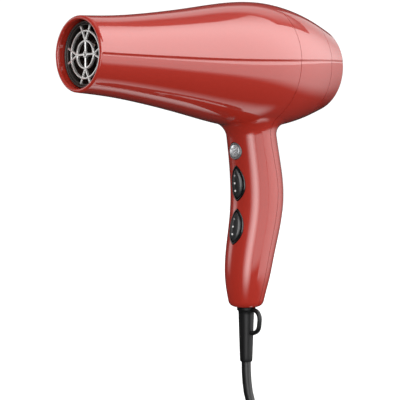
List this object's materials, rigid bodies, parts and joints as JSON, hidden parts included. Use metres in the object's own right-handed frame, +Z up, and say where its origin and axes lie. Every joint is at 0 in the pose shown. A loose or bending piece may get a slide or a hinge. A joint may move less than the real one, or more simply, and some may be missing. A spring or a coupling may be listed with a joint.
{
  "type": "hair dryer",
  "caption": "Pistol-shaped salon hair dryer: tapering barrel with outlet grille, bent handle with two rocker switches and a cool-shot button, strain relief with hang loop, mains cord.",
  "frame": {"origin": "middle of the hand grip, on the centre line of the handle", "axes": "+Z up along the handle towards the barrel, -X where the nozzle points, Y across; symmetric about Y = 0 except the hang loop, leads and cord"},
  "size_m": [0.2908, 0.1094, 0.3605],
  "materials": {
    "red_gloss": "lacquered gloss",
    "black_plastic": "satin",
    "dark_grey_plastic": "fine matte",
    "steel": "satin",
    "silver_chrome": "pearl",
    "iron": "laminated",
    "copper": "enamelled wire",
    "brass": "polished",
    "mica": "layered",
    "rubber": "satin",
    "ivory_plastic": "moulded",
    "blue_film": "dipped",
    "brown_wire": "insulation"
  },
  "bodies": {
    "housing": {"front_shell": "red_gloss", "back_shell": "red_gloss", "air_duct": "dark_grey_plastic", "outlet_grille": "steel", "mica_sleeve": "mica", "mica_board_upright": "mica", "mica_board_level": "mica", "heater_coil_front": "steel", "heater_coil_middle": "steel", "heater_coil_rear": "steel", "thermostat": "brown_wire", "thermal_fuse": "steel", "fan_duct": "dark_grey_plastic", "motor_damper": "rubber", "field_stack": "iron", "field_coil_front": "copper", "field_coil_rear": "copper", "motor_bracket_front": "steel", "motor_bracket_rear": "steel", "bearing_front": "brass", "bearing_rear": "brass", "carbon_brush_upper": "iron", "carbon_brush_lower": "iron", "speed_bezel": "black_plastic", "speed_switch": "dark_grey_plastic", "heat_bezel": "black_plastic", "heat_switch": "dark_grey_plastic", "cool_shot_ring": "black_plastic", "cool_shot_switch": "dark_grey_plastic", "cool_shot_spring": "steel", "suppression_capacitor": "blue_film", "terminal_block": "ivory_plastic", "cord_clamp": "dark_grey_plastic", "clamp_screw_left": "steel", "clamp_screw_right": "steel", "handle_screw_upper": "steel", "handle_screw_lower": "steel", "inner_cord": "rubber", "lead_live": "brown_wire", "lead_neutral": "blue_film", "strain_relief": "black_plastic", "cord": "rubber", "cord_coil": "rubber", "cord_tail": "rubber", "cord_tie": "black_plastic", "plug": "black_plastic", "plug_pin_left": "brass", "plug_pin_right": "brass"},
    "rotor": {"motor_shaft": "steel", "armature": "iron", "commutator": "copper", "fan_impeller": "black_plastic"},
    "rear_cap": {"rear_cap": "red_gloss", "inlet_grille": "black_plastic", "filter_screen": "steel", "filter_ring": "black_plastic"},
    "speed_rocker": {"speed_rocker": "black_plastic"},
    "heat_rocker": {"heat_rocker": "black_plastic"},
    "cool_shot_button": {"cool_shot_button": "silver_chrome"}
  },
  "joints": [
    {"name": "fan_spin", "type": "hinge", "parent": "housing", "child": "rotor", "pos_m": [0, 0, 0.1], "axis": [1, 0, 0], "continuous": true},
    {"name": "speed_rock", "type": "hinge", "parent": "housing", "child": "speed_rocker", "pos_m": [-0.01804, 0, 0.0084], "axis": [0, 1, 0], "range_deg": [-8, 8]},
    {"name": "heat_rock", "type": "hinge", "parent": "housing", "child": "heat_rocker", "pos_m": [-0.01996, 0, -0.0252], "axis": [0, 1, 0], "range_deg": [-8, 8]},
    {"name": "cool_shot_press", "type": "slide", "parent": "housing", "child": "cool_shot_button", "axis": [1, 0, 0], "range_m": [0, 0.0018], "stiffness_N_per_m": 300, "springref_m": -0.002, "deforming": ["cool_shot_spring"]},
    {"name": "rear_cap_pull", "type": "slide", "parent": "housing", "child": "rear_cap", "axis": [1, 0, 0], "range_m": [0, 0.035]}
  ]
}
